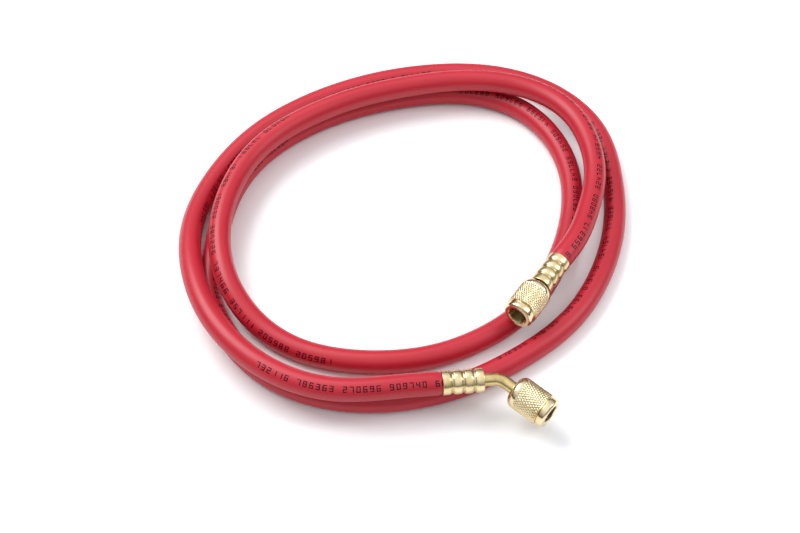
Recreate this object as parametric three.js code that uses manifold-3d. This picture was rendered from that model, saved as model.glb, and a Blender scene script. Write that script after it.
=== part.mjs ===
// A refrigerant charging hose, coiled on the floor in about three loose turns. One end has a
// straight swivel fitting, the other one bent by 45 degrees. Millimetres, +Z up, floor at z = 0.
import * as THREE from 'three';
import { mergeVertices } from 'three/addons/utils/BufferGeometryUtils.js';
import Module from 'manifold-3d';

const wasm = await Module();
wasm.setup();

// Driving dimensions: the hose
const HOSE_RADIUS = 6.35;
const HOSE_BORE = 3.175;
const HOSE_SIDES = 12;
const HOSE_STEPS = 78;
const STRAIGHT_LEAD = 14;
const NECKING = 4;
const SPLICE = 2.5;

// Driving dimensions: the crimped ferrule, with its bands and the grooves between them
const FERRULE_LENGTH = 21.6;
const FERRULE_BAND = 6.5;
const FERRULE_GROOVE = 5.9;
const FERRULE_WALL = 0.7;
const FERRULE_FRONT = 1;
const BAND_COUNT = 4;
const BAND_LENGTH = 4.2;
const CRIMP_SLOPE = 0.5;
const EDGE_ROUND = 0.35;

// Driving dimensions: the stem, from the barbs in the hose to the head in the nut
const STEM_BORE = 1.9;
const BARB_DEPTH = 0.4;
const BARB_COUNT = 3;
const BARB_PITCH = 4.6;
const INSERT_START = 3;
const SHOULDER_RADIUS = 4.9;
const SHOULDER_LENGTH = 1.2;
const NECK_RADIUS = 3.35;
const HEAD_RADIUS = 4.65;
const HEAD_LENGTH = 2;
const HEAD_CHAMFER = 0.5;
const BEND_ANGLE = THREE.MathUtils.degToRad(45);
const BEND_RADIUS = 9;
const BEND_LEAD = 5.2;
const BEND_TAIL = 5.4;
const BEND_SIDES = 16;
const BEND_STEPS = 14;

// Driving dimensions: the knurled swivel nut
const NUT_RADIUS = 8.9;
const NUT_LENGTH = 23.2;
const NUT_REAR_WALL = 2.6;
const NUT_REAR_FACE = 4.8;
const NUT_SHOULDER = 4.2;
const SHOULDER_STEPS = 4;
const RIM_RADIUS = 8.4;
const RIM_LENGTH = 4.4;
const RIM_GROOVE_RADIUS = 7.9;
const RIM_GROOVE_WIDTH = 0.8;
const MOUTH_RADIUS = 7.5;
const MOUTH_CHAMFER = 0.9;
const THREAD_MINOR = 4.95;
const THREAD_MAJOR = 5.56;
const RELIEF_LENGTH = 5.4;

// Driving dimensions: the seal and the pin that opens a valve core
const SEAL_THICKNESS = 2;
const SEAL_BORE = 2.3;
const DEPRESSOR_WEB = 0.7;
const DEPRESSOR_LENGTH = 3;
const DEPRESSOR_PIN = 0.8;
const DEPRESSOR_REACH = 3.6;

// Clearances
const GAP = 0.3;
const SWIVEL_GAP = 1;
const NECK_CLEARANCE = 0.35;
const TURNED_SEGMENTS = 24;

// Where the fittings lie: the rear of each ferrule, the way it points, its pitch and its roll
const STRAIGHT_END = { rear: [85, 9, 22.1], heading: -90, pitch: 0, roll: 0 };
const BENT_END = { rear: [74.2, -94.3, 20.4], heading: 40, pitch: -2, roll: 6 };

// The route of the hose between its two straight leads, chosen by hand
const ROUTE = [
  [80, 50, 20.9], [70.5, 76, 20.4], [52, 101, 20.4], [26, 117, 20.4],
  [-4, 117.5, 20.4], [-34, 104, 20.4], [-61, 80, 20.4], [-82, 54, 20.4],
  [-98, 23, 20.4], [-106, -12, 20.4], [-101, -45, 20.4], [-86, -76, 20],
  [-62, -100, 16.4], [-34, -110.5, 9.2], [-4, -110, 6.4], [28, -97, 6.4],
  [55, -75, 6.4], [72, -49, 6.4], [81, -19, 6.4], [80, 14, 6.4],
  [71, 48, 6.4], [55, 78, 6.4], [31, 101, 6.4], [-2, 113, 6.4],
  [-35, 106, 6.4], [-62, 86, 6.4], [-85, 59, 6.4], [-102, 27, 6.4],
  [-110, -9, 6.4], [-105, -44, 6.4], [-91, -75, 6.4], [-73, -104, 6.4],
  [-45, -124, 6.4], [-11, -133, 6.4], [24, -127, 6.4], [54, -109, 6.4],
  [77, -84, 6.4], [94, -52, 6.4], [105, -15, 6.4], [104, 24, 6.4],
  [93, 61, 6.4], [73, 95, 6.4], [45, 124, 6.4], [7, 136, 6.4],
  [-31, 129, 6.4], [-63, 109, 6.4], [-90, 81, 6.4], [-111, 46, 6.4],
  [-123, 6, 6.4], [-122, -33, 7], [-110, -70, 10.5], [-85, -103, 17.2],
  [-49, -128, 20.4], [-8, -137, 20.5], [29, -129, 20.8],
];

const BRASS = new THREE.MeshStandardMaterial({ color: 0xd8c79a, roughness: 0.28, metalness: 1 });
const RUBBER = new THREE.MeshStandardMaterial({ color: 0xc8303f, roughness: 0.5, metalness: 0 });
const SEALING = new THREE.MeshStandardMaterial({ color: 0x2f4a38, roughness: 0.55, metalness: 0 });

// A closed mesh as a solid that can be joined or cut.
function solid(geometry) {
  const bare = geometry.clone();
  bare.deleteAttribute('normal');
  bare.deleteAttribute('uv');
  const merged = mergeVertices(bare, 1e-4);
  return new wasm.Manifold(new wasm.Mesh({
    numProp: 3,
    vertProperties: new Float32Array(merged.attributes.position.array),
    triVerts: new Uint32Array(merged.index.array),
  }));
}

// The joined solid of several closed meshes, as one geometry.
function joined(geometries) {
  const whole = geometries.map(solid).reduce((sum, next) => sum.add(next));
  const mesh = whole.getMesh();
  const geometry = new THREE.BufferGeometry();
  geometry.setAttribute('position', new THREE.BufferAttribute(mesh.vertProperties, 3));
  geometry.setIndex(new THREE.BufferAttribute(mesh.triVerts, 1));
  geometry.computeVertexNormals();
  return geometry;
}

// A closed outline of [radius, y] points turned about the Y axis.
function turned(outline) {
  const closed = [...outline, outline[0]].map(([r, y]) => new THREE.Vector2(r, y));
  return new THREE.LatheGeometry(closed, TURNED_SEGMENTS);
}

// A round ring section, outer radius and bore, for a tube along a curve.
function ringShape(outer, bore, sides) {
  const corner = (radius, i, turn) => new THREE.Vector2(
    radius * Math.cos(turn * i * 2 * Math.PI / sides),
    radius * Math.sin(turn * i * 2 * Math.PI / sides),
  );
  const rim = (radius, turn) => Array.from({ length: sides }, (_, i) => corner(radius, i, turn));
  const shape = new THREE.Shape(rim(outer, 1));
  shape.holes.push(new THREE.Path(rim(bore, -1)));
  return shape;
}

// A ferrule's crimped side, from rear to front: bands at full radius with grooves between them.
function crimpedSide(inset, length) {
  const pitch = (FERRULE_LENGTH - BAND_LENGTH) / (BAND_COUNT - 1);
  const side = [[FERRULE_BAND - inset, 0]];
  for (let i = 0; i < BAND_COUNT - 1; i += 1) {
    const bandEnd = i * pitch + BAND_LENGTH;
    side.push([FERRULE_BAND - inset, bandEnd]);
    side.push([FERRULE_GROOVE - inset, bandEnd + CRIMP_SLOPE]);
    side.push([FERRULE_GROOVE - inset, (i + 1) * pitch - CRIMP_SLOPE]);
    side.push([FERRULE_BAND - inset, (i + 1) * pitch]);
  }
  side.push([FERRULE_BAND - inset, length]);
  return side;
}

// The ferrule: a cup over the hose end, its front closed down to the neck of the stem.
function ferruleGeometry() {
  const outside = crimpedSide(0, FERRULE_LENGTH - EDGE_ROUND);
  outside[0][1] = EDGE_ROUND;
  const inside = crimpedSide(FERRULE_WALL, FERRULE_LENGTH - FERRULE_FRONT).reverse();
  return turned([
    [FERRULE_BAND - EDGE_ROUND, 0],
    ...outside,
    [FERRULE_BAND - EDGE_ROUND, FERRULE_LENGTH],
    [NECK_RADIUS + GAP, FERRULE_LENGTH],
    [NECK_RADIUS + GAP, FERRULE_LENGTH - FERRULE_FRONT],
    ...inside,
  ]);
}

const SHOULDER_END = FERRULE_LENGTH - FERRULE_FRONT - GAP;
const SHOULDER_START = SHOULDER_END - SHOULDER_LENGTH;
const HOSE_END = SHOULDER_START - GAP;
const HEAD_START = NUT_REAR_WALL + GAP;
const HEAD_END = HEAD_START + HEAD_LENGTH;
const SEAL_START = HEAD_END + GAP;
const COUNTERBORE = HEAD_END - DEPRESSOR_LENGTH - GAP;

// The end of the hose, necked down to enter the ferrule and pressed into its grooves.
function hoseEndGeometry() {
  const pressed = crimpedSide(FERRULE_WALL + GAP, HOSE_END);
  return turned([
    [HOSE_BORE, -NECKING - SPLICE],
    [HOSE_RADIUS, -NECKING - SPLICE],
    [HOSE_RADIUS, -NECKING / 2],
    ...pressed,
    [HOSE_BORE, HOSE_END],
  ]);
}

// The barbed insert, its shoulder behind the ferrule's front wall, and a length of neck.
function insertOutline(neckEnd) {
  const tip = HOSE_BORE - GAP;
  const root = tip - BARB_DEPTH;
  const barbs = [];
  for (let i = 0; i < BARB_COUNT; i += 1) {
    barbs.push([root, INSERT_START + i * BARB_PITCH]);
    barbs.push([tip, INSERT_START + (i + 1) * BARB_PITCH]);
  }
  return [
    ...barbs,
    [root, INSERT_START + BARB_COUNT * BARB_PITCH],
    [root, SHOULDER_START],
    [SHOULDER_RADIUS, SHOULDER_START],
    [SHOULDER_RADIUS, SHOULDER_END],
    [NECK_RADIUS, SHOULDER_END],
    [NECK_RADIUS, neckEnd],
  ];
}

// The head that the nut pulls on, behind the seal, with y measured from the nut's rear face.
function headOutline(offset) {
  return [
    [HEAD_RADIUS, offset + HEAD_START],
    [HEAD_RADIUS, offset + HEAD_END - HEAD_CHAMFER],
    [HEAD_RADIUS - HEAD_CHAMFER, offset + HEAD_END],
  ];
}

// The flow passage, widened in the head where a core depressor can sit.
function passageOutline(offset, start) {
  return [
    [SEAL_BORE, offset + HEAD_END],
    [SEAL_BORE, offset + COUNTERBORE],
    [STEM_BORE, offset + COUNTERBORE],
    [STEM_BORE, start],
  ];
}

function straightStemGeometry() {
  const offset = FERRULE_LENGTH + SWIVEL_GAP;
  return turned([
    ...insertOutline(offset + HEAD_START),
    ...headOutline(offset),
    ...passageOutline(offset, INSERT_START),
  ]);
}

// The bend of the brass tube, in the fitting's XY plane, turning towards +X.
const BEND_START = new THREE.Vector3(0, FERRULE_LENGTH + BEND_LEAD, 0);
const BEND_REACH = BEND_RADIUS * Math.tan(BEND_ANGLE / 2);
const BEND_CORNER = BEND_START.clone().add(new THREE.Vector3(0, BEND_REACH, 0));
const BENT_WAY = new THREE.Vector3(Math.sin(BEND_ANGLE), Math.cos(BEND_ANGLE), 0);
const BEND_END = BEND_CORNER.clone().addScaledVector(BENT_WAY, BEND_REACH);
const BENT_NUT_REAR = BEND_END.clone().addScaledVector(BENT_WAY, BEND_TAIL);

function bentStemGeometry() {
  const neckStart = new THREE.Vector3(0, SHOULDER_END, 0);
  const neckEnd = BENT_NUT_REAR.clone().addScaledVector(BENT_WAY, COUNTERBORE);
  const middle = new THREE.CurvePath();
  middle.add(new THREE.LineCurve3(neckStart, BEND_START));
  middle.add(new THREE.QuadraticBezierCurve3(BEND_START, BEND_CORNER, BEND_END));
  middle.add(new THREE.LineCurve3(BEND_END, neckEnd));
  const bend = new THREE.ExtrudeGeometry(
    ringShape(NECK_RADIUS, STEM_BORE, BEND_SIDES),
    { steps: BEND_STEPS, bevelEnabled: false, extrudePath: middle },
  );
  const insert = turned([
    ...insertOutline(SHOULDER_END + FERRULE_FRONT),
    [STEM_BORE, SHOULDER_END + FERRULE_FRONT],
    [STEM_BORE, INSERT_START],
  ]);
  const head = turned([
    [NECK_RADIUS, COUNTERBORE / 2],
    [NECK_RADIUS, HEAD_START],
    ...headOutline(0),
    ...passageOutline(0, COUNTERBORE / 2),
  ]);
  head.rotateZ(-BEND_ANGLE);
  head.translate(BENT_NUT_REAR.x, BENT_NUT_REAR.y, 0);
  return joined([insert, bend, head]);
}

// The nut's rear shoulder, a quarter of an ellipse from the rear face out to the barrel.
function shoulderOutline() {
  return Array.from({ length: SHOULDER_STEPS + 1 }, (_, i) => {
    const turn = i / SHOULDER_STEPS * Math.PI / 2;
    const radius = NUT_REAR_FACE + (NUT_RADIUS - NUT_REAR_FACE) * Math.sin(turn);
    return [radius, NUT_SHOULDER * (1 - Math.cos(turn))];
  });
}

// The nut: rounded shoulder, barrel, groove, smooth rim, chamfered mouth and threaded socket.
function nutGeometry() {
  const barrelEnd = NUT_LENGTH - RIM_LENGTH;
  const reliefStart = NUT_REAR_WALL;
  const reliefEnd = reliefStart + RELIEF_LENGTH;
  const lead = THREAD_MAJOR - THREAD_MINOR;
  return turned([
    [NECK_RADIUS + NECK_CLEARANCE, 0],
    ...shoulderOutline(),
    [NUT_RADIUS, barrelEnd],
    [RIM_GROOVE_RADIUS, barrelEnd + RIM_GROOVE_WIDTH / 2],
    [RIM_GROOVE_RADIUS, barrelEnd + RIM_GROOVE_WIDTH],
    [RIM_RADIUS, barrelEnd + RIM_GROOVE_WIDTH],
    [RIM_RADIUS, NUT_LENGTH - MOUTH_CHAMFER],
    [MOUTH_RADIUS, NUT_LENGTH],
    [THREAD_MAJOR, NUT_LENGTH],
    [THREAD_MINOR, NUT_LENGTH - lead],
    [THREAD_MINOR, reliefEnd + lead],
    [THREAD_MAJOR, reliefEnd],
    [THREAD_MAJOR, reliefStart],
    [NECK_RADIUS + NECK_CLEARANCE, reliefStart],
  ]);
}

function sealGeometry() {
  return turned([
    [SEAL_BORE, SEAL_START],
    [HEAD_RADIUS, SEAL_START],
    [HEAD_RADIUS, SEAL_START + SEAL_THICKNESS],
    [SEAL_BORE, SEAL_START + SEAL_THICKNESS],
  ]);
}

// The core depressor: a cross-shaped web in the head's counterbore, with a round pin forward.
function depressorGeometry() {
  const arm = SEAL_BORE - GAP;
  const half = DEPRESSOR_WEB / 2;
  const cross = new THREE.Shape([
    [arm, -half], [arm, half], [half, half], [half, arm], [-half, arm], [-half, half],
    [-arm, half], [-arm, -half], [-half, -half], [-half, -arm], [half, -arm], [half, -half],
  ].map(([x, y]) => new THREE.Vector2(x, y)));
  const web = new THREE.ExtrudeGeometry(cross, { depth: DEPRESSOR_LENGTH, bevelEnabled: false });
  web.rotateX(-Math.PI / 2);
  web.translate(0, HEAD_END - DEPRESSOR_LENGTH, 0);
  const pin = new THREE.CylinderGeometry(
    DEPRESSOR_PIN,
    DEPRESSOR_PIN,
    DEPRESSOR_LENGTH + DEPRESSOR_REACH,
    TURNED_SEGMENTS / 2,
  );
  pin.translate(0, HEAD_END + (DEPRESSOR_REACH - DEPRESSOR_LENGTH) / 2, 0);
  return joined([web, pin]);
}

// A fitting's group: its own +Y runs from the ferrule's rear towards the mouth of the nut.
function fittingGroup(end) {
  const group = new THREE.Group();
  group.position.fromArray(end.rear);
  group.rotation.set(
    THREE.MathUtils.degToRad(end.pitch),
    THREE.MathUtils.degToRad(end.roll),
    THREE.MathUtils.degToRad(end.heading - 90),
    'ZXY',
  );
  group.updateMatrixWorld();
  return group;
}

function piece(name, geometry, material, parent) {
  const mesh = new THREE.Mesh(geometry, material);
  mesh.name = name;
  parent.add(mesh);
  return mesh;
}

const hosePart = new THREE.Group();
const straightFitting = fittingGroup(STRAIGHT_END);
const bentFitting = fittingGroup(BENT_END);
hosePart.add(straightFitting, bentFitting);

// The hose: a tube along its route, spliced to its two pressed ends.
function hoseGeometry() {
  const onAxis = (fitting, distance) => fitting.localToWorld(new THREE.Vector3(0, distance, 0));
  const points = [
    onAxis(straightFitting, -NECKING),
    onAxis(straightFitting, -STRAIGHT_LEAD / 2),
    onAxis(straightFitting, -STRAIGHT_LEAD),
    ...ROUTE.map(([x, y, z]) => new THREE.Vector3(x, y, z)),
    onAxis(bentFitting, -STRAIGHT_LEAD),
    onAxis(bentFitting, -STRAIGHT_LEAD / 2),
    onAxis(bentFitting, -NECKING),
  ];
  const path = new THREE.CatmullRomCurve3(points, false, 'centripetal');
  path.arcLengthDivisions = points.length * 20;
  const tube = new THREE.ExtrudeGeometry(
    ringShape(HOSE_RADIUS, HOSE_BORE, HOSE_SIDES),
    { steps: HOSE_STEPS, bevelEnabled: false, extrudePath: path },
  );
  const ends = [straightFitting, bentFitting].map(
    (fitting) => hoseEndGeometry().applyMatrix4(fitting.matrixWorld),
  );
  return joined([tube, ...ends]);
}

piece('hose', hoseGeometry(), RUBBER, hosePart);

// The straight end
const straightNut = new THREE.Group();
straightNut.position.y = FERRULE_LENGTH + SWIVEL_GAP;
straightFitting.add(straightNut);
piece('ferrule_straight', ferruleGeometry(), BRASS, straightFitting);
piece('stem_straight', straightStemGeometry(), BRASS, straightFitting);
piece('nut_straight', nutGeometry(), BRASS, straightNut);
piece('seal_straight', sealGeometry(), SEALING, straightNut);

// The bent end
const bentNut = new THREE.Group();
bentNut.position.copy(BENT_NUT_REAR);
bentNut.rotation.z = -BEND_ANGLE;
bentFitting.add(bentNut);
piece('ferrule_bent', ferruleGeometry(), BRASS, bentFitting);
piece('stem_bent', bentStemGeometry(), BRASS, bentFitting);
piece('nut_bent', nutGeometry(), BRASS, bentNut);
piece('seal_bent', sealGeometry(), SEALING, bentNut);
piece('core_depressor', depressorGeometry(), BRASS, bentNut);

export default hosePart;
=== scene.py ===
"""The looks of a refrigerant charging hose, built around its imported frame. Metres, +Z up.

Every piece is a surface worked out with numpy on a grid of rows and columns. The hose is a round
section carried along its route, and the brass pieces are outlines turned about their own axis,
with the knurl and the thread added to the radius as functions of height and angle.
"""

import math

import bpy
import numpy as np
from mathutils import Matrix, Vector


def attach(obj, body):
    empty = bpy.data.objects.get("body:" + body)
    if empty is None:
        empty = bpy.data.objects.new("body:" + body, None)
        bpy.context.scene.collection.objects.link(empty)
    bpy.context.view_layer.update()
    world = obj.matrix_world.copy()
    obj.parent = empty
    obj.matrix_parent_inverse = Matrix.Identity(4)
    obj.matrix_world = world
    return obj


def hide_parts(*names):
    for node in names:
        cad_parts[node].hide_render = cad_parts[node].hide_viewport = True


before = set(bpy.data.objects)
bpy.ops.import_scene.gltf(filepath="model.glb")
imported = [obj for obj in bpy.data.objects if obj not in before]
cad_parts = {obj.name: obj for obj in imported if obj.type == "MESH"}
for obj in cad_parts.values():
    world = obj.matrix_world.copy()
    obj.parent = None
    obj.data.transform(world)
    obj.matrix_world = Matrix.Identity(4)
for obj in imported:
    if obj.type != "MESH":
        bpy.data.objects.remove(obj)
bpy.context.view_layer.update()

BODY = "hose_assembly"
STRAIGHT_NUT_BODY = "straight_nut"
BENT_NUT_BODY = "bent_nut"

# Sizes, as in the part's source, in metres
HOSE_RADIUS = 0.00635
HOSE_BORE = 0.003175
STRAIGHT_LEAD = 0.014
NECKING = 0.004
FERRULE_LENGTH = 0.0216
FERRULE_BAND = 0.0065
FERRULE_GROOVE = 0.0059
FERRULE_WALL = 0.0007
FERRULE_FRONT = 0.001
BAND_COUNT = 4
BAND_LENGTH = 0.0042
CRIMP_SLOPE = 0.0005
STEM_BORE = 0.0019
BARB_DEPTH = 0.0004
BARB_COUNT = 3
BARB_PITCH = 0.0046
INSERT_START = 0.003
SHOULDER_RADIUS = 0.0049
SHOULDER_LENGTH = 0.0012
NECK_RADIUS = 0.00335
HEAD_RADIUS = 0.00465
HEAD_LENGTH = 0.002
BEND_ANGLE = math.radians(45)
BEND_RADIUS = 0.009
BEND_LEAD = 0.0052
BEND_TAIL = 0.0054
NUT_RADIUS = 0.0089
NUT_LENGTH = 0.0232
NUT_REAR_WALL = 0.0026
NUT_REAR_FACE = 0.0048
NUT_SHOULDER = 0.0042
RIM_RADIUS = 0.0084
RIM_LENGTH = 0.0044
RIM_GROOVE_RADIUS = 0.0079
RIM_GROOVE_WIDTH = 0.0008
MOUTH_RADIUS = 0.0075
MOUTH_CHAMFER = 0.0009
THREAD_MINOR = 0.00495
THREAD_MAJOR = 0.00556
THREAD_PITCH = 0.00127
RELIEF_LENGTH = 0.0054
SEAL_THICKNESS = 0.002
SEAL_BORE = 0.0023
DEPRESSOR_WEB = 0.0007
DEPRESSOR_LENGTH = 0.003
DEPRESSOR_PIN = 0.0008
DEPRESSOR_REACH = 0.0036
GAP = 0.0003
SWIVEL_GAP = 0.001
NECK_CLEARANCE = 0.00035

SHOULDER_END = FERRULE_LENGTH - FERRULE_FRONT - GAP
SHOULDER_START = SHOULDER_END - SHOULDER_LENGTH
HOSE_END = SHOULDER_START - GAP
HEAD_START = NUT_REAR_WALL + GAP
HEAD_END = HEAD_START + HEAD_LENGTH
SEAL_START = HEAD_END + GAP
COUNTERBORE = HEAD_END - DEPRESSOR_LENGTH - GAP

# The route of the hose, the same points as in the part's source, in metres
ROUTE = [
    (0.080, 0.050, 0.0209), (0.0705, 0.076, 0.0204), (0.052, 0.101, 0.0204), (0.026, 0.117, 0.0204),
    (-0.004, 0.1175, 0.0204), (-0.034, 0.104, 0.0204), (-0.061, 0.080, 0.0204), (-0.082, 0.054, 0.0204),
    (-0.098, 0.023, 0.0204), (-0.106, -0.012, 0.0204), (-0.101, -0.045, 0.0204), (-0.086, -0.076, 0.020),
    (-0.062, -0.100, 0.0164), (-0.034, -0.1105, 0.0092), (-0.004, -0.110, 0.0064), (0.028, -0.097, 0.0064),
    (0.055, -0.075, 0.0064), (0.072, -0.049, 0.0064), (0.081, -0.019, 0.0064), (0.080, 0.014, 0.0064),
    (0.071, 0.048, 0.0064), (0.055, 0.078, 0.0064), (0.031, 0.101, 0.0064), (-0.002, 0.113, 0.0064),
    (-0.035, 0.106, 0.0064), (-0.062, 0.086, 0.0064), (-0.085, 0.059, 0.0064), (-0.102, 0.027, 0.0064),
    (-0.110, -0.009, 0.0064), (-0.105, -0.044, 0.0064), (-0.091, -0.075, 0.0064), (-0.073, -0.104, 0.0064),
    (-0.045, -0.124, 0.0064), (-0.011, -0.133, 0.0064), (0.024, -0.127, 0.0064), (0.054, -0.109, 0.0064),
    (0.077, -0.084, 0.0064), (0.094, -0.052, 0.0064), (0.105, -0.015, 0.0064), (0.104, 0.024, 0.0064),
    (0.093, 0.061, 0.0064), (0.073, 0.095, 0.0064), (0.045, 0.124, 0.0064), (0.007, 0.136, 0.0064),
    (-0.031, 0.129, 0.0064), (-0.063, 0.109, 0.0064), (-0.090, 0.081, 0.0064), (-0.111, 0.046, 0.0064),
    (-0.123, 0.006, 0.0064), (-0.122, -0.033, 0.007), (-0.110, -0.070, 0.0105), (-0.085, -0.103, 0.0172),
    (-0.049, -0.128, 0.0204), (-0.008, -0.137, 0.0205), (0.029, -0.129, 0.0208),
]


class Fitting:
    """Where a fitting lies: its +Y runs from the ferrule's rear towards the mouth of the nut."""

    def __init__(self, rear, heading, pitch, roll):
        turn, tilt, spin = math.radians(heading - 90), math.radians(pitch), math.radians(roll)
        cos, sin = math.cos, math.sin
        about_z = np.array([[cos(turn), -sin(turn), 0], [sin(turn), cos(turn), 0], [0, 0, 1]])
        about_x = np.array([[1, 0, 0], [0, cos(tilt), -sin(tilt)], [0, sin(tilt), cos(tilt)]])
        about_y = np.array([[cos(spin), 0, sin(spin)], [0, 1, 0], [-sin(spin), 0, cos(spin)]])
        self.turn = about_z @ about_x @ about_y
        self.rear = np.array(rear)

    def place(self, points):
        """Points of the fitting's own frame, turned and moved to where it lies."""
        return points @ self.turn.T + self.rear


STRAIGHT_END = Fitting(rear=(0.085, 0.009, 0.0221), heading=-90, pitch=0, roll=0)
BENT_END = Fitting(rear=(0.0742, -0.0943, 0.0204), heading=40, pitch=-2, roll=6)

BEND_REACH = BEND_RADIUS * math.tan(BEND_ANGLE / 2)
BENT_WAY = np.array([math.sin(BEND_ANGLE), math.cos(BEND_ANGLE), 0])
BEND_START = np.array([0, FERRULE_LENGTH + BEND_LEAD, 0])
BEND_CORNER = BEND_START + np.array([0, BEND_REACH, 0])
BEND_END = BEND_CORNER + BEND_REACH * BENT_WAY
BENT_NUT_REAR = BEND_END + BEND_TAIL * BENT_WAY


def in_straight_nut(points):
    """Points of the straight nut's own frame, placed."""
    return STRAIGHT_END.place(points + np.array([0, FERRULE_LENGTH + SWIVEL_GAP, 0]))


def in_bent_nut(points):
    """Points of the bent end's nut frame, placed: turned by the bend, then moved to its rear."""
    cos, sin = math.cos(BEND_ANGLE), math.sin(BEND_ANGLE)
    turn = np.array([[cos, sin, 0], [-sin, cos, 0], [0, 0, 1]])
    return BENT_END.place(points @ turn.T + BENT_NUT_REAR)


# The camera, at the photograph's angle. The focal length is given for an image 800 pixels wide.
IMAGE_WIDTH = 800
FOCAL_PIXELS = 1440
SENSOR = 36.0
CAMERA_AT = (0.2899, -0.4576, 0.6373)
CAMERA_AIM = (0.004, -0.028, 0.0)


def make_camera():
    """The scene's camera."""
    data = bpy.data.cameras.new("camera")
    data.sensor_width = SENSOR
    data.lens = FOCAL_PIXELS / IMAGE_WIDTH * SENSOR
    data.clip_start = 0.01
    data.clip_end = 20
    camera = bpy.data.objects.new("camera", data)
    bpy.context.scene.collection.objects.link(camera)
    camera.location = CAMERA_AT
    way = Vector(CAMERA_AIM) - Vector(CAMERA_AT)
    camera.rotation_euler = way.to_track_quat("-Z", "Y").to_euler()
    bpy.context.scene.camera = camera


# The centreline of the hose

SPAN_STEPS = 40


def centreline(points, spacing):
    """A natural cubic spline through the points, cut into equal steps of about spacing.

    The second derivatives m at the points solve the usual three-term equations with the chord
    lengths h as parameter steps; each span is then the cubic with those end curvatures.
    """
    p = np.asarray(points, float)
    h = np.linalg.norm(np.diff(p, axis=0), axis=1)
    n = len(p)
    inner = np.arange(1, n - 1)
    system = np.eye(n)
    system[inner, inner - 1] = h[:-1]
    system[inner, inner] = 2 * (h[:-1] + h[1:])
    system[inner, inner + 1] = h[1:]
    slope = np.diff(p, axis=0) / h[:, None]
    right = np.zeros((n, 3))
    right[1:-1] = 6 * np.diff(slope, axis=0)
    m = np.linalg.solve(system, right)
    u = np.linspace(0, 1, SPAN_STEPS, endpoint=False)[None, :, None] * h[:, None, None]
    v = h[:, None, None] - u
    k = h[:, None, None]
    start, end, m0, m1 = p[:-1, None], p[1:, None], m[:-1, None], m[1:, None]
    bend = (m0 * v ** 3 + m1 * u ** 3) / (6 * k)
    fine = bend + (start / k - m0 * k / 6) * v + (end / k - m1 * k / 6) * u
    fine = np.vstack([fine.reshape(-1, 3), p[-1]])
    run = np.r_[0, np.cumsum(np.linalg.norm(np.diff(fine, axis=0), axis=1))]
    stations = np.linspace(0, run[-1], int(round(run[-1] / spacing)) + 1)
    return stations, np.stack([np.interp(stations, run, fine[:, axis]) for axis in range(3)], 1)


def hose_points():
    """The hose's guide points: both straight leads on the fittings' axes, and the route between."""
    def on_axis(fitting, distances):
        return [fitting.place(np.array([0, d, 0])) for d in distances]
    distances = (HOSE_END, HOSE_END / 2, 0, -STRAIGHT_LEAD / 2, -STRAIGHT_LEAD)
    start = on_axis(STRAIGHT_END, distances)
    end = on_axis(BENT_END, distances[::-1])
    return start + [np.array(p) for p in ROUTE] + end


# Meshes from grids

# The most of a side that the arc at one of its ends takes
SIDE_SHARE = 0.45


def new_object(name, vertices, faces, uvs, material, body, groove=None):
    """A smooth-shaded mesh object with one UV map, its faces turned outwards.

    groove, where given, is how deep in a cut each vertex lies, from 0 to 1, for the material's tarnish and
    painted shade.
    """
    vertices = np.asarray(vertices)
    corners = vertices[faces]
    fan = np.cross(corners[:, 1] - corners[:, 0], corners[:, 2] - corners[:, 0])
    fan += np.cross(corners[:, 2] - corners[:, 0], corners[:, 3] - corners[:, 0])
    if np.sum(corners[:, 0] * fan) < 0:
        faces = faces[:, ::-1]
        uvs = uvs[:, ::-1]
    mesh = bpy.data.meshes.new(name)
    mesh.from_pydata(vertices.tolist(), [], faces.tolist())
    layer = mesh.uv_layers.new(name="surface")
    layer.data.foreach_set("uv", uvs.reshape(-1).astype(np.float32))
    if groove is not None:
        depth = mesh.attributes.new("groove", "FLOAT", "POINT")
        depth.data.foreach_set("value", groove.reshape(-1).astype(np.float32))
    mesh.shade_smooth()
    mesh.materials.append(material)
    piece = bpy.data.objects.new(name, mesh)
    bpy.context.scene.collection.objects.link(piece)
    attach(piece, body)
    return piece


def grid_faces(rows, cols):
    """Quads of a grid that closes on itself both ways, like a ring, and each quad's corner places."""
    i, j = np.meshgrid(np.arange(rows), np.arange(cols), indexing="ij")
    i, j = i.reshape(-1), j.reshape(-1)
    below, beside = (i + 1) % rows, (j + 1) % cols
    faces = np.stack([i * cols + j, i * cols + beside, below * cols + beside, below * cols + j], 1)
    places = np.stack([np.stack([i, i, i + 1, i + 1], 1), np.stack([j, j + 1, j + 1, j], 1)], 2)
    return faces, places


def rounded(corners, steps=4):
    """An outline with each corner (radius, height, rounding, step) replaced by a small arc.

    The arc is the quadratic curve with the corner as its control point, starting and ending at
    most SIDE_SHARE of a side away. Straight runs are then cut to the step given with the corner
    they leave. A corner with no rounding stays one point.
    """
    corner = np.array([c[:2] for c in corners], float)
    rounding = np.array([c[2] for c in corners], float)
    spacing = [c[3] for c in corners]
    before, after = np.roll(corner, 1, axis=0) - corner, np.roll(corner, -1, axis=0) - corner
    length_before, length_after = np.linalg.norm(before, axis=1), np.linalg.norm(after, axis=1)
    cut = np.minimum(rounding, SIDE_SHARE * np.minimum(length_before, length_after))
    first = corner + before / length_before[:, None] * cut[:, None]
    last = corner + after / length_after[:, None] * cut[:, None]
    t = np.linspace(0, 1, steps + 1)[:, None]
    outline = []
    for k in range(len(corner)):
        arc = (1 - t) ** 2 * first[k] + 2 * t * (1 - t) * corner[k] + t ** 2 * last[k]
        outline.append(arc if rounding[k] else corner[k:k + 1])
        target = first[(k + 1) % len(corner)]
        count = int(np.linalg.norm(target - last[k]) / spacing[k])
        outline.append(last[k] + (target - last[k]) * (np.arange(1, count)[:, None] / max(count, 1)))
    return np.vstack(outline)


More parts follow.
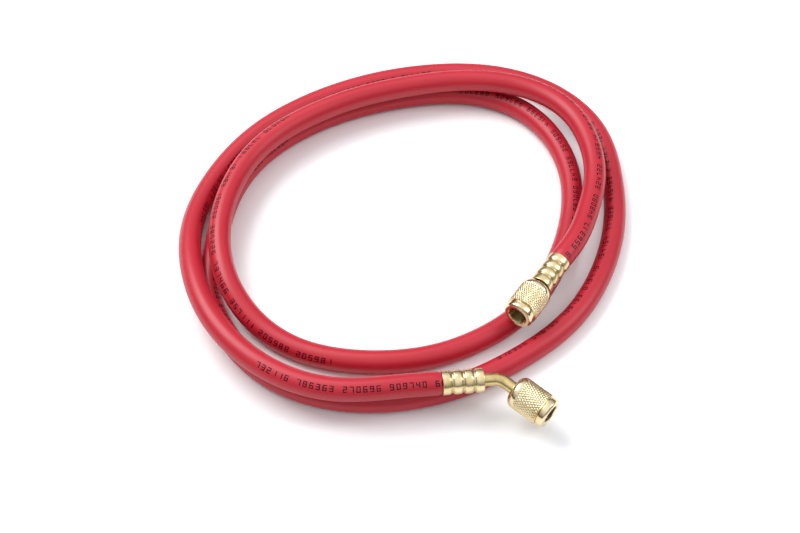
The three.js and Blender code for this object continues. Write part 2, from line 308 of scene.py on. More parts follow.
def turned(name, outline, cols, place, material, body, relief=None):
    """An outline of (radius, height) turned about +Y: x = r cos a, y = height, z = r sin a.

    relief(radius, height, angle) gives what is added to the radius and how deep in a cut each
    vertex lies, as whole grids; the second grid sets the material's tarnish and painted shade.
    The UV map holds the distance along the outline and round the piece, in metres.
    """
    angle = np.arange(cols) * 2 * np.pi / cols
    radius = np.repeat(outline[:, :1], cols, axis=1)
    height = np.repeat(outline[:, 1:], cols, axis=1)
    groove = None
    if relief is not None:
        added, groove = relief(radius, height, angle[None, :])
        radius = radius + added
    points = np.stack([radius * np.cos(angle), height, radius * np.sin(angle)], 2)
    faces, places = grid_faces(len(outline), cols)
    run = np.r_[0, np.cumsum(np.linalg.norm(np.diff(outline, axis=0, append=outline[:1]), axis=1))]
    widest = outline[:, 0].max()
    uvs = np.stack([run[places[..., 0]], places[..., 1] * 2 * np.pi * widest / cols], 2)
    return new_object(name, place(points.reshape(-1, 3)), faces, uvs, material, body, groove)


# Materials

def colour(code):
    """A hex sRGB colour as linear RGBA."""
    parts = np.array([int(code[i:i + 2], 16) for i in (0, 2, 4)]) / 255
    linear = np.where(parts <= 0.04045, parts / 12.92, ((parts + 0.055) / 1.055) ** 2.4)
    return (*linear.tolist(), 1.0)


def add(tree, kind, inputs=None, **settings):
    """Adds a node with its settings. inputs maps a socket to a value, or to (node, output) to link."""
    node = tree.nodes.new(kind)
    for name, value in settings.items():
        setattr(node, name, value)
    for socket, value in (inputs or {}).items():
        if isinstance(value, tuple) and isinstance(value[0], bpy.types.Node):
            tree.links.new(value[0].outputs[value[1]], node.inputs[socket])
        else:
            node.inputs[socket].default_value = value
    return node


def new_material(name):
    """A material with only its Principled shader and output, and its node tree."""
    material = bpy.data.materials.new(name)
    material.use_nodes = True
    tree = material.node_tree
    tree.nodes.clear()
    shader = add(tree, "ShaderNodeBsdfPrincipled")
    output = add(tree, "ShaderNodeOutputMaterial")
    tree.links.new(shader.outputs["BSDF"], output.inputs["Surface"])
    return material, tree, shader


def brass_material(name, base, dark, roughness, mark_depth):
    """Machined or drawn brass, bright to satin: fine marks round the axis, a little tarnish, and tarnish
    with painted shade in its cuts and sockets.
    """
    material, tree, shader = new_material(name)
    shader.inputs["Metallic"].default_value = 1.0
    surface = add(tree, "ShaderNodeUVMap", uv_map="surface")
    # Turning marks, 0.25 mm apart along the outline and long round the piece
    stretched = add(tree, "ShaderNodeMapping", {"Vector": (surface, "UV"), "Scale": (4000, 60, 1)})
    marks = add(tree, "ShaderNodeTexNoise", {"Vector": (stretched, "Vector"), "Scale": 1.0, "Detail": 3.0})
    coords = add(tree, "ShaderNodeTexCoord")
    # Handling tarnish in soft patches about 6 mm across
    patches = add(tree, "ShaderNodeTexNoise", {"Vector": (coords, "Object"), "Scale": 160.0, "Detail": 4.0})
    spread = add(tree, "ShaderNodeMapRange", {"Value": (patches, "Fac"), "From Min": 0.45, "From Max": 0.8,
                                               "To Min": 0.0, "To Max": 1.0})
    tint = add(tree, "ShaderNodeMix", {0: (spread, "Result"), 6: colour(base), 7: colour(dark)},
               data_type="RGBA")
    # Tarnish with painted shade in the cuts of the knurl, the thread and the crimp, and more
    # painted shade inside the nuts
    depth = add(tree, "ShaderNodeAttribute", attribute_name="groove")
    shade_and_tarnish_share = add(tree, "ShaderNodeMapRange", {"Value": (depth, "Fac"), "From Min": 0.45, "From Max": 2.0,
                                             "To Min": 0.0, "To Max": 1.0})
    # The dark brown 7C6238 is painted shade and tarnish, mixed in by the groove attribute
    shaded_and_tarnished = add(tree, "ShaderNodeMix", {0: (shade_and_tarnish_share, "Result"), 6: (tint, 2), 7: colour("7C6238")},
                data_type="RGBA")
    tree.links.new(shaded_and_tarnished.outputs[2], shader.inputs["Base Color"])
    gloss = add(tree, "ShaderNodeMapRange", {"Value": (marks, "Fac"), "From Min": 0.3, "From Max": 0.7,
                                              "To Min": roughness * 0.8, "To Max": roughness * 1.25})
    tree.links.new(gloss.outputs["Result"], shader.inputs["Roughness"])
    bump = add(tree, "ShaderNodeBump", {"Height": (marks, "Fac"), "Strength": 0.35, "Distance": mark_depth})
    tree.links.new(bump.outputs["Normal"], shader.inputs["Normal"])
    return material


# The printed line: seven-segment digits in ink, each segment (centre along, centre across, half
# length along, half length across) in millimetres, and the digits that it is dark in
DIGIT_PITCH = 3.35
INK_SEGMENTS = [
    ((0.0, 1.35), (1.05, 0.28), "0 2 3 5 6 7 8 9"),
    ((0.8, 0.7), (0.28, 0.8), "0 1 2 3 4 7 8 9"),
    ((0.8, -0.7), (0.28, 0.8), "0 1 3 4 5 6 7 8 9"),
    ((0.0, -1.35), (1.05, 0.28), "0 2 3 5 6 8 9"),
    ((-0.8, -0.7), (0.28, 0.8), "0 2 6 8"),
    ((-0.8, 0.7), (0.28, 0.8), "0 4 5 6 8 9"),
    ((0.0, 0.0), (1.05, 0.28), "2 3 4 5 6 8 9"),
]
INK_WANDER = 0.08
MM_PER_M = 1000.0
CELLS_IN_GROUP = 7
BLANK_CELLS = 1
# The line is repeated every 97 cells, of which the first nine groups are printed
LINE_CELLS = 97
PRINTED_CELLS = 63


def ink_mask(tree, surface):
    """How much ink there is at a point of the hose, from its UV map in metres, as a node output."""
    def maths(operation, *values):
        inputs = {place: value for place, value in enumerate(values)}
        return (add(tree, "ShaderNodeMath", inputs, operation=operation), "Value")

    # The ink's edges wander, in steps about 0.4 mm long
    wobble = add(tree, "ShaderNodeTexNoise", {"Vector": (surface, "UV"), "Scale": 2500.0, "Detail": 1.0})
    parts = add(tree, "ShaderNodeSeparateXYZ", {"Vector": (surface, "UV")})
    shift = maths("MULTIPLY_ADD", (wobble, "Fac"), 2 * INK_WANDER, -INK_WANDER)
    along = maths("MULTIPLY", (parts, "X"), MM_PER_M)
    across = maths("MULTIPLY_ADD", (parts, "Y"), MM_PER_M, shift)
    cell = maths("FLOOR", maths("DIVIDE", along, DIGIT_PITCH))
    middle = maths("MULTIPLY", maths("ADD", cell, 0.5), DIGIT_PITCH)
    local = maths("ADD", maths("SUBTRACT", along, middle), shift)
    digit = (add(tree, "ShaderNodeTexWhiteNoise", {"W": cell}, noise_dimensions="1D"), "Value")
    total = None
    for (cx, cy), (hx, hy), digits in INK_SEGMENTS:
        near = maths("LESS_THAN", maths("ABSOLUTE", maths("SUBTRACT", local, cx)), hx)
        level = maths("LESS_THAN", maths("ABSOLUTE", maths("SUBTRACT", across, cy)), hy)
        lit = add(tree, "ShaderNodeValToRGB", {"Fac": digit})
        lit.color_ramp.interpolation = "CONSTANT"
        shown = [str(d) in digits.split() for d in range(10)]
        lit.color_ramp.elements[0].color = (1, 1, 1, 1) if shown[0] else (0, 0, 0, 1)
        lit.color_ramp.elements[1].position = 0.1
        lit.color_ramp.elements[1].color = (1, 1, 1, 1) if shown[1] else (0, 0, 0, 1)
        for d in range(2, 10):
            stop = lit.color_ramp.elements.new(d / 10)
            stop.color = (1, 1, 1, 1) if shown[d] else (0, 0, 0, 1)
        segment = maths("MULTIPLY", maths("MULTIPLY", near, level), (lit, "Color"))
        total = segment if total is None else maths("MAXIMUM", total, segment)
    in_line = maths("FLOORED_MODULO", cell, LINE_CELLS)
    in_group = maths("FLOORED_MODULO", in_line, CELLS_IN_GROUP)
    printed = maths("MULTIPLY", maths("GREATER_THAN", in_group, BLANK_CELLS - 0.5),
                    maths("LESS_THAN", in_line, PRINTED_CELLS - 0.5))
    # Worn ink: patches about 2 mm across where the print is thin
    wear = add(tree, "ShaderNodeTexNoise", {"Vector": (surface, "UV"), "Scale": 420.0, "Detail": 3.0})
    left = add(tree, "ShaderNodeMapRange", {"Value": (wear, "Fac"), "From Min": 0.35, "From Max": 0.55,
                                             "To Min": 0.8, "To Max": 1.0})
    return maths("MULTIPLY", maths("MULTIPLY", total, printed), (left, "Result"))


def hose_material():
    """Extruded synthetic rubber cover, red: satin, with a faint grain and a printed line of ink."""
    material, tree, shader = new_material("red_nitrile_rubber_cover")
    surface = add(tree, "ShaderNodeUVMap", uv_map="surface")
    coords = add(tree, "ShaderNodeTexCoord")
    # Slow change of shade along the hose, about 40 mm long
    shade = add(tree, "ShaderNodeTexNoise", {"Vector": (coords, "Object"), "Scale": 25.0, "Detail": 3.0})
    rubber = add(tree, "ShaderNodeMix", {0: (shade, "Fac"), 6: colour("A61627"), 7: colour("B51D2E")},
                 data_type="RGBA")
    ink = ink_mask(tree, surface)
    inked = add(tree, "ShaderNodeMix", {0: ink, 6: (rubber, 2), 7: colour("14040A")}, data_type="RGBA")
    tree.links.new(inked.outputs[2], shader.inputs["Base Color"])
    # The ink is matt, so it mirrors less than the rubber round it
    mirror = add(tree, "ShaderNodeMapRange", {"Value": ink, "To Min": 0.42, "To Max": 0.15})
    tree.links.new(mirror.outputs["Result"], shader.inputs["Specular IOR Level"])
    # Extrusion grain: streaks 0.3 mm wide that run along the hose
    streaks = add(tree, "ShaderNodeMapping", {"Vector": (surface, "UV"), "Scale": (60, 3300, 1)})
    grain = add(tree, "ShaderNodeTexNoise", {"Vector": (streaks, "Vector"), "Scale": 1.0, "Detail": 2.0})
    pores = add(tree, "ShaderNodeTexNoise", {"Vector": (coords, "Object"), "Scale": 2600.0, "Detail": 2.0})
    relief = add(tree, "ShaderNodeMath", {0: (grain, "Fac"), 1: (pores, "Fac")}, operation="ADD")
    bump = add(tree, "ShaderNodeBump", {"Height": (relief, "Value"), "Strength": 0.25, "Distance": 0.00004})
    tree.links.new(bump.outputs["Normal"], shader.inputs["Normal"])
    sheen = add(tree, "ShaderNodeMapRange", {"Value": (shade, "Fac"), "From Min": 0.3, "From Max": 0.7,
                                              "To Min": 0.36, "To Max": 0.44})
    tree.links.new(sheen.outputs["Result"], shader.inputs["Roughness"])
    return material


def seal_material():
    """Moulded neoprene, dark green: matt with a fine grain."""
    material, tree, shader = new_material("green_neoprene")
    coords = add(tree, "ShaderNodeTexCoord")
    grain = add(tree, "ShaderNodeTexNoise", {"Vector": (coords, "Object"), "Scale": 3000.0, "Detail": 2.0})
    tint = add(tree, "ShaderNodeMix", {0: (grain, "Fac"), 6: colour("1D3226"), 7: colour("2C4A39")},
               data_type="RGBA")
    tree.links.new(tint.outputs[2], shader.inputs["Base Color"])
    shader.inputs["Roughness"].default_value = 0.5
    bump = add(tree, "ShaderNodeBump", {"Height": (grain, "Fac"), "Strength": 0.3, "Distance": 0.00003})
    tree.links.new(bump.outputs["Normal"], shader.inputs["Normal"])
    return material


# The hose

SIDES = 44
RING_SPACING = 0.0015
BORE_SPACING = 0.009
# How quickly the hose swells out of a ferrule's mouth to its full radius
SWELL_POWER = 2.5


def band_profile(inset):
    """Heights and radii of a ferrule's crimped side, from its rear to its front."""
    pitch = (FERRULE_LENGTH - BAND_LENGTH) / (BAND_COUNT - 1)
    heights, radii = [0.0], [FERRULE_BAND - inset]
    for k in range(BAND_COUNT - 1):
        end = k * pitch + BAND_LENGTH
        heights += [end, end + CRIMP_SLOPE, (k + 1) * pitch - CRIMP_SLOPE, (k + 1) * pitch]
        radii += [r - inset for r in (FERRULE_BAND, FERRULE_GROOVE, FERRULE_GROOVE, FERRULE_BAND)]
    heights.append(FERRULE_LENGTH)
    radii.append(FERRULE_BAND - inset)
    return heights, radii


def hose_radius(from_end):
    """Outer radius at a distance from the hose's end: pressed in the ferrule, then swelling out."""
    heights, radii = band_profile(FERRULE_WALL + GAP)
    depth = HOSE_END - from_end
    pressed = np.interp(depth, heights, radii)
    mouth = FERRULE_BAND - FERRULE_WALL - GAP
    t = np.clip(-depth / NECKING, 0, 1)
    free = mouth + (HOSE_RADIUS - mouth) * (1 - (1 - t) ** SWELL_POWER)
    return np.where(depth > 0, pressed, free)


# Where the printed line lies round the hose, in degrees from the top towards the outside of the
# coil, at shares of the hose's length: it turns slowly, as a coiled hose does
PRINT_AT = [0, 0.043, 0.06, 0.1, 0.17, 0.22, 0.25, 0.33, 0.45, 0.6, 0.75, 0.8, 0.885, 0.935, 1]
PRINT_ANGLE = [38, 20, 30, 42, 18, 41, 55, 35, -55, -30, -25, -50, -60, 33, 36]


def make_hose(material):
    """A round section carried along the centreline: p + r (cos a up + sin a side).

    up is world up made square to the line, so the section never spins. Rows run out along the
    outer surface and back along the bore, which closes the wall at both ends.
    """
    stations, line = centreline(hose_points(), RING_SPACING)
    # The spline dips 0.1 mm where the hose starts to rise, and the floor holds it up there
    line[:, 2] = np.maximum(line[:, 2], HOSE_RADIUS)
    length = stations[-1]
    tangent = np.gradient(line, axis=0)
    tangent /= np.linalg.norm(tangent, axis=1)[:, None]
    up = np.array([0, 0, 1.0]) - tangent * tangent[:, 2:]
    up /= np.linalg.norm(up, axis=1)[:, None]
    side = np.cross(tangent, up)
    outer = hose_radius(np.minimum(stations, length - stations))
    bore = np.arange(len(stations) - 1, -1, -int(round(BORE_SPACING / RING_SPACING)))
    bore = np.unique(np.r_[bore, 0])[::-1]
    row = np.r_[np.arange(len(stations)), bore]
    radius = np.r_[outer, np.full(len(bore), HOSE_BORE)]
    angle = np.arange(SIDES) * 2 * np.pi / SIDES - np.pi
    ring = np.cos(angle)[None, :, None] * up[row][:, None]
    ring = ring + np.sin(angle)[None, :, None] * side[row][:, None]
    points = line[row][:, None] + radius[:, None, None] * ring
    faces, places = grid_faces(len(row), SIDES)
    print_angle = np.radians(np.interp(stations / length, PRINT_AT, PRINT_ANGLE))
    run = np.r_[stations, length + stations[bore[::-1]], 2 * length]
    twist = np.r_[print_angle, np.full(len(bore) + 1, np.pi)]
    around = places[..., 1] * 2 * np.pi / SIDES - np.pi
    uvs = np.stack([run[places[..., 0]], (twist[places[..., 0]] - around) * HOSE_RADIUS], 2)
    hose = new_object("hose_cover", points.reshape(-1, 3), faces, uvs, material, BODY)
    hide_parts("hose")
    return hose, line, length


# The ferrules

FERRULE_COLS = 144
SIDE_ROWS = 104
REAR_EDGE = 0.0007
FRONT_EDGE = 0.0009
GROOVE_HALF_WIDTH = 0.00078
BAND_BULGE = 0.00016
# The marks of the crimping jaws: where the first lies as a share of a jaw, how wide the ridges
# between jaws are as a share of a jaw, and how much of both shows on the bands
CRIMP_JAWS = 8
JAW_TURN = 0.2
RIDGE_WIDTH = 0.045
RIDGE_HEIGHT = 0.00009
FLAT_DEPTH = 0.00005
SHOWN_ON_BANDS = 0.4


def crimped_radius(height):
    """A ferrule's outer radius: full bands, each a little barrelled, with round-bottomed grooves.

    A groove d away takes 1 / (1 + (d / half width)^4) of the groove's depth off the radius.
    """
    pitch = (FERRULE_LENGTH - BAND_LENGTH) / (BAND_COUNT - 1)
    first = (BAND_LENGTH + pitch) / 2
    nearest = np.clip(np.round((height - first) / pitch), 0, BAND_COUNT - 2)
    away = np.abs(height - first - nearest * pitch)
    depth = (FERRULE_BAND - FERRULE_GROOVE) / (1 + (away / GROOVE_HALF_WIDTH) ** 4)
    return FERRULE_BAND - depth - BAND_BULGE * np.maximum(1 - away / (pitch / 2), 0)


def ferrule_outline():
    """The outline of the cup: crimped side, front wall with its hole, and the side's inner face."""
    height = np.linspace(REAR_EDGE, FERRULE_LENGTH - FRONT_EDGE, SIDE_ROWS)
    outer = [(FERRULE_BAND, 0, 0.0005, 0.0004)]
    outer += [(r, h, 0, 0.0004) for r, h in zip(crimped_radius(height), height)]
    outer.append((FERRULE_BAND, FERRULE_LENGTH, 0.0007, 0.0005))
    hole = NECK_RADIUS + GAP
    front = [(hole, FERRULE_LENGTH, 0.0002, 0.0005), (hole, FERRULE_LENGTH - FERRULE_FRONT, 0.0001, 0.001)]
    inner_heights, inner_radii = band_profile(FERRULE_WALL)
    inner_heights[-1] = FERRULE_LENGTH - FERRULE_FRONT
    inner = [(r, h, 0.0006, 0.0008) for h, r in zip(inner_heights[::-1], inner_radii[::-1])]
    inner[-1] = (inner_radii[0], 0, 0.0002, 0.001)
    return rounded(outer + front + inner)


def crimp_relief(radius, height, angle):
    """Faint flats where the crimping jaws closed in the grooves, with a fine ridge between jaws."""
    share = np.clip((FERRULE_BAND - radius) / (FERRULE_BAND - FERRULE_GROOVE), 0, 1)
    outside = radius > FERRULE_GROOVE - GAP
    phase = np.mod(angle * CRIMP_JAWS / (2 * np.pi) + JAW_TURN, 1)
    ridge = RIDGE_HEIGHT * np.exp(-(np.minimum(phase, 1 - phase) / RIDGE_WIDTH) ** 2)
    flat = -FLAT_DEPTH * (1 - (2 * phase - 1) ** 2)
    shown = SHOWN_ON_BANDS + (1 - SHOWN_ON_BANDS) * share
    # The second grid darkens the crimp's grooves in the material: tarnish with painted shade
    return np.where(outside, shown * (ridge + flat), 0), share * outside


def make_ferrule(name, node, fitting, material):
    """One crimped ferrule."""
    piece = turned(name, ferrule_outline(), FERRULE_COLS, fitting.place, material, BODY, crimp_relief)
    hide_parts(node)
    return piece


# The stems

STEM_COLS = 72


def insert_outline():
    """The barbed insert and its shoulder, as corners of an outline."""
    tip = HOSE_BORE - GAP
    root = tip - BARB_DEPTH
    step = 0.0008
    corners = []
    for k in range(BARB_COUNT):
        corners.append((root, INSERT_START + k * BARB_PITCH, 0.0001, step))
        corners.append((tip, INSERT_START + (k + 1) * BARB_PITCH, 0.0001, step))
    corners.append((root, INSERT_START + BARB_COUNT * BARB_PITCH, 0.0001, step))
    corners.append((root, SHOULDER_START, 0.0001, step))
    corners.append((SHOULDER_RADIUS, SHOULDER_START, 0.0002, step))
    corners.append((SHOULDER_RADIUS, SHOULDER_END, 0.0002, step))
    corners.append((NECK_RADIUS, SHOULDER_END, 0.0001, step))
    return corners


def head_outline(offset):
    """The head behind the seal, with its seat for a core depressor."""
    step = 0.0006
    return [
        (NECK_RADIUS, offset + HEAD_START, 0.0002, step),
        (HEAD_RADIUS, offset + HEAD_START, 0.0003, step),
        (HEAD_RADIUS, offset + HEAD_END, 0.0005, step),
        (SEAL_BORE, offset + HEAD_END, 0.0002, step),
        (SEAL_BORE, offset + COUNTERBORE, 0.0001, step),
        (STEM_BORE, offset + COUNTERBORE, 0.0001, 0.002),
    ]


def make_straight_stem(material):
    """The turned stem: the insert, the shoulder, the neck and the head on one axis."""
    offset = FERRULE_LENGTH + SWIVEL_GAP
    corners = insert_outline() + head_outline(offset) + [(STEM_BORE, INSERT_START, 0.0001, 0.0004)]
    piece = turned("stem_turned", rounded(corners), STEM_COLS, STRAIGHT_END.place, material, BODY)
    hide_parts("stem_straight")
    return piece


def bend_frame(distance):
    """Place and sideways direction on the bent stem's line, at distances from the ferrule's rear.

    The line runs up +Y, round an arc of BEND_RADIUS in the XY plane towards +X, then straight on.
    """
    start = BEND_START[1]
    sweep = np.clip((distance - start) / BEND_RADIUS, 0, BEND_ANGLE)
    beyond = np.maximum(distance - start - BEND_RADIUS * BEND_ANGLE, 0)
    x = BEND_RADIUS * (1 - np.cos(sweep)) + beyond * np.sin(sweep)
    y = np.minimum(distance, start) + BEND_RADIUS * np.sin(sweep) + beyond * np.cos(sweep)
    place = np.stack([x, y, np.zeros_like(x)], -1)
    side = np.stack([np.cos(sweep), -np.sin(sweep), np.zeros_like(x)], -1)
    return place, side


def make_bent_stem(material):
    """The straight stem's outline, carried along the bend: place + r (cos a side + sin a z)."""
    offset = BEND_START[1] + BEND_RADIUS * BEND_ANGLE + BEND_TAIL
    corners = insert_outline()
    corners[-1] = (NECK_RADIUS, SHOULDER_END, 0.0001, 0.0003)
    corners += head_outline(offset)
    corners[-1] = (STEM_BORE, offset + COUNTERBORE, 0.0001, 0.0006)
    corners.append((STEM_BORE, INSERT_START, 0.0001, 0.0004))
    outline = rounded(corners)
    angle = np.arange(STEM_COLS) * 2 * np.pi / STEM_COLS
    place, side = bend_frame(outline[:, 1])
    radius = outline[:, 0][:, None, None]
    ring = np.cos(angle)[None, :, None] * side[:, None]
    ring = ring + np.sin(angle)[None, :, None] * np.array([0, 0, 1.0])
    points = place[:, None] + radius * ring
    faces, places = grid_faces(len(outline), STEM_COLS)
    run = np.r_[0, np.cumsum(np.linalg.norm(np.diff(outline, axis=0, append=outline[:1]), axis=1))]
    uvs = np.stack([run[places[..., 0]], places[..., 1] * 2 * np.pi * HEAD_RADIUS / STEM_COLS], 2)
    piece = new_object("stem_bent_tube", BENT_END.place(points.reshape(-1, 3)), faces, uvs, material, BODY)
    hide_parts("stem_bent")
    return piece


# The nuts

BARREL_END = NUT_LENGTH - RIM_LENGTH
SHOULDER_ROWS = 14
# The knurl, as coarse as it needs to be to show in the picture
KNURLS = 38
NUT_COLS = KNURLS * 8
KNURL_DEPTH = 0.00029
KNURL_SLANT = math.radians(30)
KNURL_SLOPE = 0.8
KNURL_MARGIN = 0.0005
KNURL_FADE = 0.0004
# The thread: its flat crest and its flanks as shares of half a pitch, and its run-out at both ends
THREAD_CREST = 0.15
THREAD_FLANK = 0.65
THREAD_FADE = 0.0012
# How much painted shade darkens the sockets, and painted shade with tarnish the thread in them, next to the
# knurl's cuts as 1
SOCKET_PAINTED_SHADE = 1.8
THREAD_SHADE_AND_TARNISH = 0.4
SOCKET_EDGE = 0.0003
SOCKET_MARGIN = 0.0001
NEAR = 0.00001


def nut_outline():
    """The nut's outline, fine along the barrel and the thread so that both can be cut in."""
    lead = THREAD_MAJOR - THREAD_MINOR
    relief_end = NUT_REAR_WALL + RELIEF_LENGTH
    hole = NECK_RADIUS + NECK_CLEARANCE
    coarse, fine, thread = 0.0008, 0.00019, 0.00013
    turn = np.linspace(0, np.pi / 2, SHOULDER_ROWS + 1)[:-1]
    rise = NUT_REAR_FACE + (NUT_RADIUS - NUT_REAR_FACE) * np.sin(turn)
    run = NUT_SHOULDER * (1 - np.cos(turn))
    return rounded([
        (hole, 0, 0.0003, coarse),
        *[(r, h, 0, coarse) for r, h in zip(rise, run)],
        (NUT_RADIUS, NUT_SHOULDER, 0.0001, fine),
        (NUT_RADIUS, BARREL_END, 0.0001, 0.0002),
        (RIM_GROOVE_RADIUS, BARREL_END + RIM_GROOVE_WIDTH / 2, 0.0001, 0.0002),
        (RIM_GROOVE_RADIUS, BARREL_END + RIM_GROOVE_WIDTH, 0.0001, 0.0002),
        (RIM_RADIUS, BARREL_END + RIM_GROOVE_WIDTH, 0.00025, coarse),
        (RIM_RADIUS, NUT_LENGTH - MOUTH_CHAMFER, 0.0005, 0.0005),
        (MOUTH_RADIUS, NUT_LENGTH, 0.0004, 0.0006),
        (THREAD_MAJOR, NUT_LENGTH, 0.0002, 0.0003),
        (THREAD_MINOR, NUT_LENGTH - lead, 0.0002, thread),
        (THREAD_MINOR, relief_end + lead, 0.0001, 0.0003),
        (THREAD_MAJOR, relief_end, 0.0001, coarse),
        (THREAD_MAJOR, NUT_REAR_WALL, 0.0003, coarse),
        (hole, NUT_REAR_WALL, 0.0002, coarse),
    ])


def fade(value, low, high, width):
    """1 between low and high, falling to 0 at them over the width."""
    return np.clip(np.minimum(value - low, high - value) / width, 0, 1)


def nut_relief(radius, height, angle):
    """The knurl and the thread, both as what they add to the radius.

    Knurl: two families of slanted V-grooves, count * angle / 2 pi plus and minus height / lead;
    each leaves a ridge with a flat top, and the lower of the two is the diamond. Thread: a V with
    flat crest and root, of phase height / pitch minus angle / 2 pi.
    """
    lead = 2 * np.pi * NUT_RADIUS / KNURLS / math.tan(KNURL_SLANT)
    turn = angle / (2 * np.pi)
    tent = [1 - np.abs(2 * np.mod(KNURLS * turn + sign * height / lead, 1) - 1) for sign in (1, -1)]
    diamond = np.minimum(np.minimum(tent[0], tent[1]) / KNURL_SLOPE, 1)
    on_barrel = fade(height, NUT_SHOULDER + KNURL_MARGIN, BARREL_END, KNURL_FADE)
    on_barrel = on_barrel * (radius > NUT_RADIUS - NEAR)
    knurl = -KNURL_DEPTH * (1 - diamond) * on_barrel
    full_depth = THREAD_MAJOR - THREAD_MINOR
    flank = np.abs(2 * np.mod(height / THREAD_PITCH - turn, 1) - 1)
    depth = full_depth * np.clip((flank - THREAD_CREST) / THREAD_FLANK, 0, 1)
    in_bore = np.abs(radius - THREAD_MINOR) < NEAR
    thread = depth * in_bore * fade(height, NUT_REAR_WALL + RELIEF_LENGTH, NUT_LENGTH, THREAD_FADE)
    # The second grid is painted shade alone inside the sockets, and painted shade with tarnish in the
    # thread's roots and the knurl's cuts
    in_socket = (radius < THREAD_MAJOR + SOCKET_MARGIN) * (height < NUT_LENGTH - SOCKET_EDGE)
    tarnish = SOCKET_PAINTED_SHADE * in_socket + THREAD_SHADE_AND_TARNISH * thread / full_depth
    return knurl + thread, (1 - diamond) * on_barrel + tarnish


def make_nut(name, node, place, body, material):
    """One knurled nut, on its own body."""
    piece = turned(name, nut_outline(), NUT_COLS, place, material, body, nut_relief)
    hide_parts(node)
    return piece


# The seals and the core depressor

LIP_HEIGHT = 0.0005
LIP_TOP = 0.0007
LIP_FOOT = 0.0009
# The depressor: rows along its web and along its pin, columns round it, how much its tip narrows,
# and the radius that its two ends close to
PIN_ROWS = 9
PIN_COLS = 96
PIN_TIP = 0.8
CLOSED = 1e-5


def make_seal(name, node, place, material):
    """A flat ring with a raised lip round its bore."""
    top = SEAL_START + SEAL_THICKNESS
    step = 0.0004
    outline = rounded([
        (SEAL_BORE, SEAL_START, 0.0002, step),
        (HEAD_RADIUS, SEAL_START, 0.0003, step),
        (HEAD_RADIUS, top - LIP_HEIGHT, 0.0004, step),
        (SEAL_BORE + LIP_FOOT, top - LIP_HEIGHT, 0.0003, step),
        (SEAL_BORE + LIP_TOP, top, 0.0003, step),
        (SEAL_BORE, top, 0.0002, step),
    ])
    piece = turned(name, outline, STEM_COLS, place, material, BODY)
    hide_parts(node)
    return piece


def make_depressor(material):
    """A round pin on a four-armed web: in each ring the radius is the arms' or the pin's.

    An arm's edge lies at half its width from its middle line, so at an angle a from that line its
    outline is the smaller of the arm's length and half width / sin a.
    """
    bottom, top = HEAD_END - DEPRESSOR_LENGTH, HEAD_END + DEPRESSOR_REACH
    angle = np.arange(PIN_COLS) * 2 * np.pi / PIN_COLS
    from_arm = np.abs(np.mod(angle + np.pi / 4, np.pi / 2) - np.pi / 4)
    web = np.minimum(SEAL_BORE - GAP, DEPRESSOR_WEB / 2 / np.maximum(np.sin(from_arm), 1e-6))
    web = np.maximum(web, DEPRESSOR_PIN)
    pin = np.full(PIN_COLS, DEPRESSOR_PIN)
    closing = np.full(PIN_COLS, CLOSED)
    radius = np.vstack([closing, np.tile(web, (PIN_ROWS, 1)), np.tile(pin, (PIN_ROWS, 1)),
                        pin * PIN_TIP, closing])
    heights = np.r_[bottom, np.linspace(bottom, HEAD_END, PIN_ROWS), HEAD_END,
                    np.linspace(HEAD_END, top, PIN_ROWS), top]
    height = np.repeat(heights[:, None], PIN_COLS, 1)
    points = np.stack([radius * np.cos(angle), height, radius * np.sin(angle)], 2)
    faces, places = grid_faces(len(heights), PIN_COLS)
    uvs = np.stack([heights[places[..., 0] % len(heights)], places[..., 1] * 0.0001], 2)
    piece = new_object("core_pin", in_bent_nut(points.reshape(-1, 3)), faces, uvs, material, BODY)
    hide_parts("core_depressor")
    return piece


# The studio

FLOOR_HALF = 8.0


def make_floor():
    """A plain pale floor of matt paper that reaches well past the picture."""
    mesh = bpy.data.meshes.new("floor")
    corners = [(x * FLOOR_HALF, y * FLOOR_HALF, 0) for x, y in ((-1, -1), (1, -1), (1, 1), (-1, 1))]
    mesh.from_pydata(corners, [], [(0, 1, 2, 3)])
    material, _, shader = new_material("floor_paper")
    shader.inputs["Base Color"].default_value = colour("F4F4F4")
    shader.inputs["Roughness"].default_value = 0.9
    mesh.materials.append(material)
    floor = bpy.data.objects.new("floor", mesh)
    bpy.context.scene.collection.objects.link(floor)


def softbox(name, at, aim, size, power):
    """A rectangular area light at a place, turned towards another."""
    data = bpy.data.lights.new(name, "AREA")
    data.shape = "RECTANGLE"
    data.size, data.size_y = size
    data.energy = power
    light = bpy.data.objects.new(name, data)
    bpy.context.scene.collection.objects.link(light)
    light.location = at
    light.rotation_euler = (Vector(aim) - Vector(at)).to_track_quat("-Z", "Y").to_euler()


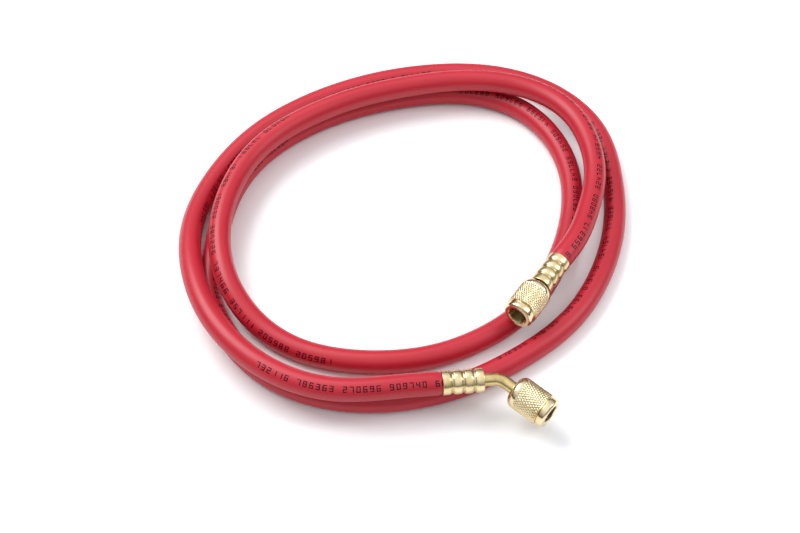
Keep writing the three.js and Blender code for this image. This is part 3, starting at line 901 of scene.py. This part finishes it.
def make_studio():
    """The floor, the world's light, two softboxes and plain colours."""
    make_floor()
    world = bpy.data.worlds.new("studio")
    world.use_nodes = True
    tree = world.node_tree
    # A bright ceiling above darker walls, which gives the brass its dark edges
    coords = add(tree, "ShaderNodeTexCoord")
    parts = add(tree, "ShaderNodeSeparateXYZ", {"Vector": (coords, "Generated")})
    walls = add(tree, "ShaderNodeValToRGB", {"Fac": (parts, "Z")})
    walls.color_ramp.elements[0].position = 0.12
    walls.color_ramp.elements[0].color = colour("241F1C")
    walls.color_ramp.elements[1].position = 0.85
    walls.color_ramp.elements[1].color = colour("F4F6FA")
    background = tree.nodes["Background"]
    background.inputs["Strength"].default_value = 1.25
    tree.links.new(walls.outputs["Color"], background.inputs["Color"])
    bpy.context.scene.world = world
    softbox("key", (-0.78, 0.0, 1.05), (0, 0, 0), (1.0, 0.8), 16)
    softbox("fill", (0.9, 0.6, 0.9), (0, 0, 0), (0.3, 0.9), 5)
    bpy.context.scene.view_settings.view_transform = "Standard"


def main():
    make_camera()
    brass_turned = brass_material("turned_brass_bright", "E9D8B0", "CFB684", 0.2, 0.000012)
    brass_drawn = brass_material("drawn_brass_bright", "E6D3A4", "C8AE74", 0.27, 0.000008)
    brass_tube = brass_material("bent_brass_tube_dull", "D3BC86", "B09660", 0.3, 0.000008)
    rubber = hose_material()
    seal = seal_material()
    hose, line, length = make_hose(rubber)
    pieces = [
        make_ferrule("ferrule_a", "ferrule_straight", STRAIGHT_END, brass_drawn),
        make_ferrule("ferrule_b", "ferrule_bent", BENT_END, brass_drawn),
        make_straight_stem(brass_tube),
        make_bent_stem(brass_tube),
        make_nut("nut_a", "nut_straight", in_straight_nut, STRAIGHT_NUT_BODY, brass_turned),
        make_nut("nut_b", "nut_bent", in_bent_nut, BENT_NUT_BODY, brass_turned),
        make_seal("seal_a", "seal_straight", in_straight_nut, seal),
        make_seal("seal_b", "seal_bent", in_bent_nut, seal),
        make_depressor(brass_turned),
    ]
    make_studio()


main()
